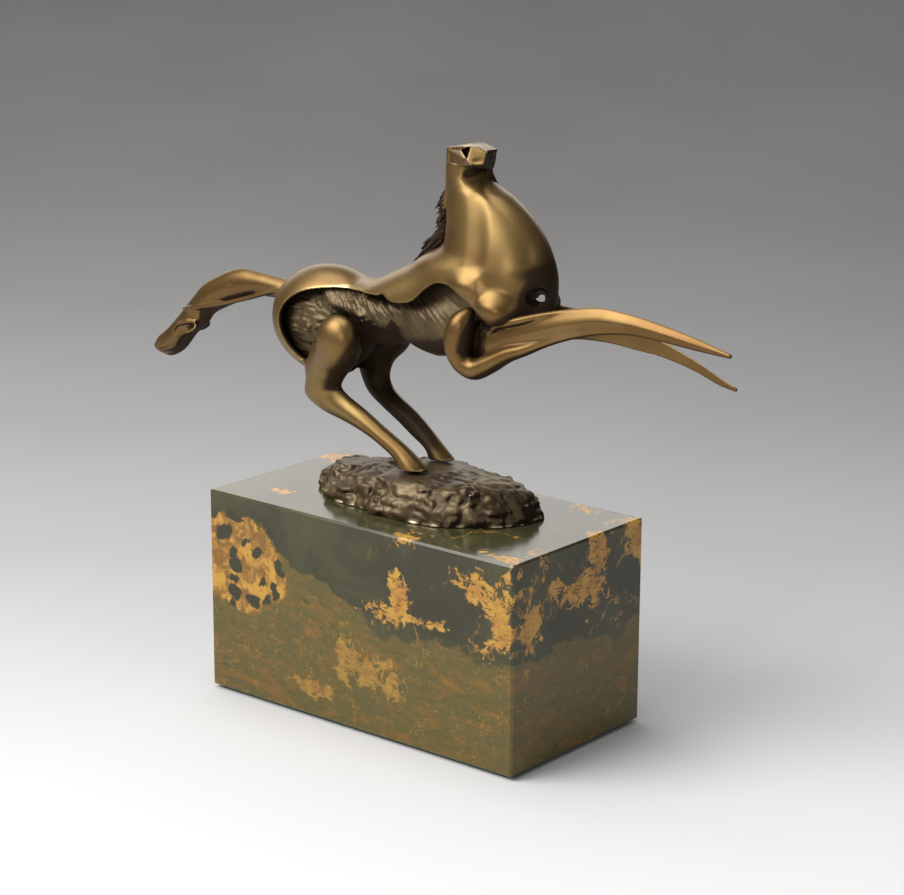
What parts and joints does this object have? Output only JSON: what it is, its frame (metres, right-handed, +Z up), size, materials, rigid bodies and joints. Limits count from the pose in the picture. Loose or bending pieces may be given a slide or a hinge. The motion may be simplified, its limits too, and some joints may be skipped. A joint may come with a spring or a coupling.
{
  "type": "bronze horse statue",
  "caption": "Stylised leaping bronze horse with an open shell over its back, on a cast ground and a polished stone block.",
  "frame": {"origin": "centre of the felt's underside, where the block rests", "axes": "+Z up out of the block, +X along the block the way the horse leaps, +Y across the block to the horse's left"},
  "size_m": [0.2876, 0.078, 0.2225],
  "materials": {
    "bronze": "waxed umber patina with rubbed edges",
    "dark_bronze": "dark matt patina on rough casting",
    "stone": "polished",
    "felt": "pressed wool felt",
    "steel": "zinc plated"
  },
  "bodies": {
    "root": {"plinth": "stone", "felt_pad": "felt", "ground": "dark_bronze", "stud_rear": "steel", "stud_front": "steel", "washer_rear": "steel", "washer_front": "steel", "nut_rear": "steel", "nut_front": "steel", "hind_leg_right": "bronze", "hind_leg_left": "bronze", "torso_core": "dark_bronze", "back_shell": "bronze", "neck": "bronze", "head": "bronze", "mane": "dark_bronze", "tail": "bronze", "foreleg_right": "bronze", "foreleg_left": "bronze", "hip_pin": "steel", "shoulder_pin": "steel", "back_pins": "steel", "neck_pins": "steel", "head_pin": "steel", "tail_pin": "steel"}
  },
  "joints": []
}
